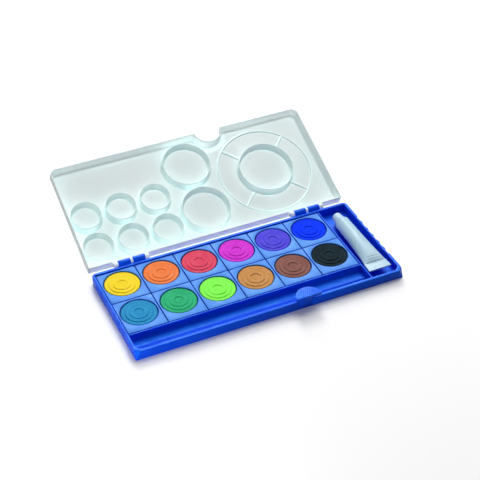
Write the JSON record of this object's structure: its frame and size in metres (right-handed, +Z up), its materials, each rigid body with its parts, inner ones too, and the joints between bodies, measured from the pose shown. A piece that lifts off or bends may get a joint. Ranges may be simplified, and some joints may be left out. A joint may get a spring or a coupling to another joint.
{
  "type": "paint box",
  "caption": "Flat box of gouache pans in a plastic tray with a brush trough, a tube of white and a hinged lid moulded with round mixing wells.",
  "frame": {"origin": "centre of the tray's underside", "axes": "+X along the box to the tube, +Y to the hinge, +Z up; the lid is drawn lying open"},
  "size_m": [0.2354, 0.2072, 0.0485],
  "materials": {
    "tray_plastic": "gloss royal blue",
    "latch_plastic": "pressed dimples on top",
    "pan_plastic": "satin light blue",
    "lid_plastic": "milky, slightly translucent",
    "tube_laminate": "smooth satin",
    "cap_plastic": "smooth satin",
    "paint_yellow": "dry pressed paint",
    "paint_orange": "dry pressed paint",
    "paint_red": "dry pressed paint",
    "paint_magenta": "dry pressed paint",
    "paint_violet": "dry pressed paint",
    "paint_ultramarine": "dry pressed paint",
    "paint_turquoise": "dry pressed paint",
    "paint_green": "dry pressed paint",
    "paint_lime_green": "dry pressed paint",
    "paint_ochre": "dry pressed paint",
    "paint_brown": "dry pressed paint",
    "paint_black": "dry pressed paint"
  },
  "bodies": {
    "tray": {"tray": "tray_plastic"},
    "lid": {"lid": "lid_plastic", "large_mixing_well": "lid_plastic", "palette_bead": "lid_plastic", "small_mixing_well_1": "lid_plastic", "small_mixing_well_2": "lid_plastic", "small_mixing_well_3": "lid_plastic", "small_mixing_well_4": "lid_plastic", "small_mixing_well_5": "lid_plastic", "small_mixing_well_6": "lid_plastic", "medium_mixing_well_1": "lid_plastic", "medium_mixing_well_2": "lid_plastic"},
    "latch": {"latch_tab": "latch_plastic"},
    "pan_set_1": {"pan_1": "pan_plastic", "paint_cake_1": "paint_yellow"},
    "pan_set_2": {"pan_2": "pan_plastic", "paint_cake_2": "paint_orange"},
    "pan_set_3": {"pan_3": "pan_plastic", "paint_cake_3": "paint_red"},
    "pan_set_4": {"pan_4": "pan_plastic", "paint_cake_4": "paint_magenta"},
    "pan_set_5": {"pan_5": "pan_plastic", "paint_cake_5": "paint_violet"},
    "pan_set_6": {"pan_6": "pan_plastic", "paint_cake_6": "paint_ultramarine"},
    "pan_set_7": {"pan_7": "pan_plastic", "paint_cake_7": "paint_turquoise"},
    "pan_set_8": {"pan_8": "pan_plastic", "paint_cake_8": "paint_green"},
    "pan_set_9": {"pan_9": "pan_plastic", "paint_cake_9": "paint_lime_green"},
    "pan_set_10": {"pan_10": "pan_plastic", "paint_cake_10": "paint_ochre"},
    "pan_set_11": {"pan_11": "pan_plastic", "paint_cake_11": "paint_brown"},
    "pan_set_12": {"pan_12": "pan_plastic", "paint_cake_12": "paint_black"},
    "tube": {"tube_body": "tube_laminate", "tube_crimp": "tube_laminate", "tube_neck": "tube_laminate"},
    "cap": {"tube_cap": "cap_plastic"}
  },
  "joints": [
    {"name": "lid_hinge", "type": "hinge", "parent": "tray", "child": "lid", "pos_m": [0, 0.0535, 0.0087], "axis": [-1, 0, 0], "range_deg": [-157.5, 0]},
    {"name": "latch_flex", "type": "hinge", "parent": "tray", "child": "latch", "pos_m": [0.0273, -0.0495, 0.0029], "axis": [1, 0, 0], "range_deg": [0, 6], "stiffness_Nm_per_rad": 0.08},
    {"name": "pan_1_lift", "type": "slide", "parent": "tray", "child": "pan_set_1", "axis": [0, 0, 1], "range_m": [0, 0.04]},
    {"name": "pan_2_lift", "type": "slide", "parent": "tray", "child": "pan_set_2", "axis": [0, 0, 1], "range_m": [0, 0.04]},
    {"name": "pan_3_lift", "type": "slide", "parent": "tray", "child": "pan_set_3", "axis": [0, 0, 1], "range_m": [0, 0.04]},
    {"name": "pan_4_lift", "type": "slide", "parent": "tray", "child": "pan_set_4", "axis": [0, 0, 1], "range_m": [0, 0.04]},
    {"name": "pan_5_lift", "type": "slide", "parent": "tray", "child": "pan_set_5", "axis": [0, 0, 1], "range_m": [0, 0.04]},
    {"name": "pan_6_lift", "type": "slide", "parent": "tray", "child": "pan_set_6", "axis": [0, 0, 1], "range_m": [0, 0.04]},
    {"name": "pan_7_lift", "type": "slide", "parent": "tray", "child": "pan_set_7", "axis": [0, 0, 1], "range_m": [0, 0.04]},
    {"name": "pan_8_lift", "type": "slide", "parent": "tray", "child": "pan_set_8", "axis": [0, 0, 1], "range_m": [0, 0.04]},
    {"name": "pan_9_lift", "type": "slide", "parent": "tray", "child": "pan_set_9", "axis": [0, 0, 1], "range_m": [0, 0.04]},
    {"name": "pan_10_lift", "type": "slide", "parent": "tray", "child": "pan_set_10", "axis": [0, 0, 1], "range_m": [0, 0.04]},
    {"name": "pan_11_lift", "type": "slide", "parent": "tray", "child": "pan_set_11", "axis": [0, 0, 1], "range_m": [0, 0.04]},
    {"name": "pan_12_lift", "type": "slide", "parent": "tray", "child": "pan_set_12", "axis": [0, 0, 1], "range_m": [0, 0.04]},
    {"name": "tube_lift", "type": "slide", "parent": "tray", "child": "tube", "axis": [0, 0, 1], "range_m": [0, 0.06]},
    {"name": "cap_pull", "type": "slide", "parent": "tube", "child": "cap", "axis": [0, 1, 0], "range_m": [0, 0.0065]}
  ]
}
